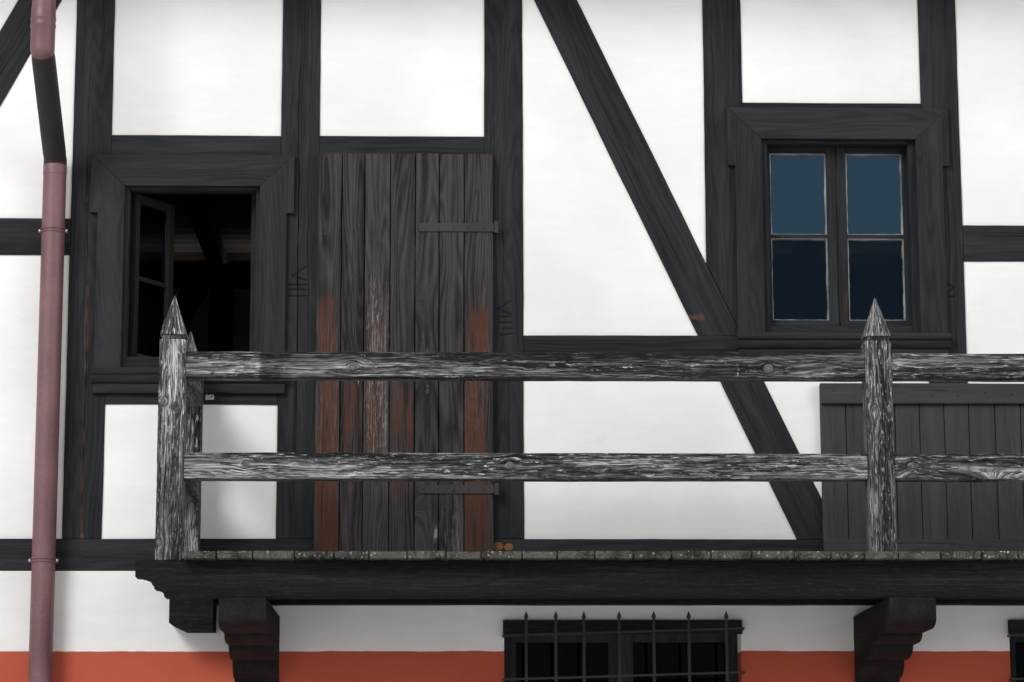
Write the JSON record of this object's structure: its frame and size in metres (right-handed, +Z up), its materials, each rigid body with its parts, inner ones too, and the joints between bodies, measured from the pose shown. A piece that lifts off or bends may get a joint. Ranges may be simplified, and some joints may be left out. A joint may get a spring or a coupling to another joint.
{
  "type": "half-timbered house with a balcony",
  "caption": "Half-timbered house: masonry ground storey, timber-framed upper storey with plaster panels, corbelled front balcony, gabled tile roof.",
  "frame": {"origin": "centre of the bounding box's footprint, on the level ground", "axes": "+X along the front wall to the viewer's right, +Y from the front into the house, +Z up"},
  "size_m": [12.15, 9.82, 10.9179],
  "materials": {
    "dark_timber": "charcoal-stained, matt, checked",
    "plain_timber": "sawn, unpainted",
    "door_wood": "stained boards, worn to brown",
    "weathered_timber": "silver-grey weathered, mossy",
    "lime_plaster": "white lime wash",
    "painted_masonry": "orange-red paint under a white band",
    "concrete": "floated",
    "clay_tile": "fired clay, weathered",
    "wrought_iron": "forged, blackened",
    "painted_sheet_metal": "dusky pink paint",
    "window_glass": "clear, slightly uneven"
  },
  "bodies": {
    "root": {"ground_slab": "concrete", "ground_walls": "painted_masonry", "ground_window_frames": "dark_timber", "ground_window_glass": "window_glass", "window_grilles": "wrought_iron", "lintel_boards": "dark_timber", "entrance_frame": "dark_timber", "entrance_door": "door_wood", "floor_joists": "plain_timber", "floor_boards": "plain_timber", "wall_sills": "dark_timber", "front_posts": "dark_timber", "front_rails": "dark_timber", "front_braces": "dark_timber", "front_panels": "lime_plaster", "rear_posts": "dark_timber", "rear_rails": "dark_timber", "rear_braces": "dark_timber", "rear_panels": "lime_plaster", "wall_plates": "dark_timber", "tie_beams": "dark_timber", "loft_boards": "plain_timber", "rafters": "dark_timber", "collar_beams": "dark_timber", "purlins": "dark_timber", "gable_timbers": "dark_timber", "gable_panels": "lime_plaster", "roof_covering": "clay_tile", "ridge_tiles": "clay_tile", "roof_edge_boards": "dark_timber", "gutters": "painted_sheet_metal", "downpipes": "painted_sheet_metal", "window_surrounds": "dark_timber", "window_frames": "dark_timber", "open_window_frame": "dark_timber", "window_sashes": "dark_timber", "window_glass": "window_glass", "balcony_door": "door_wood", "door_hinges": "wrought_iron", "boarded_screen": "door_wood", "corbels": "dark_timber", "balcony_beams": "dark_timber", "balcony_deck": "weathered_timber", "railing_posts": "weathered_timber", "railing_rails": "weathered_timber"}
  },
  "joints": []
}
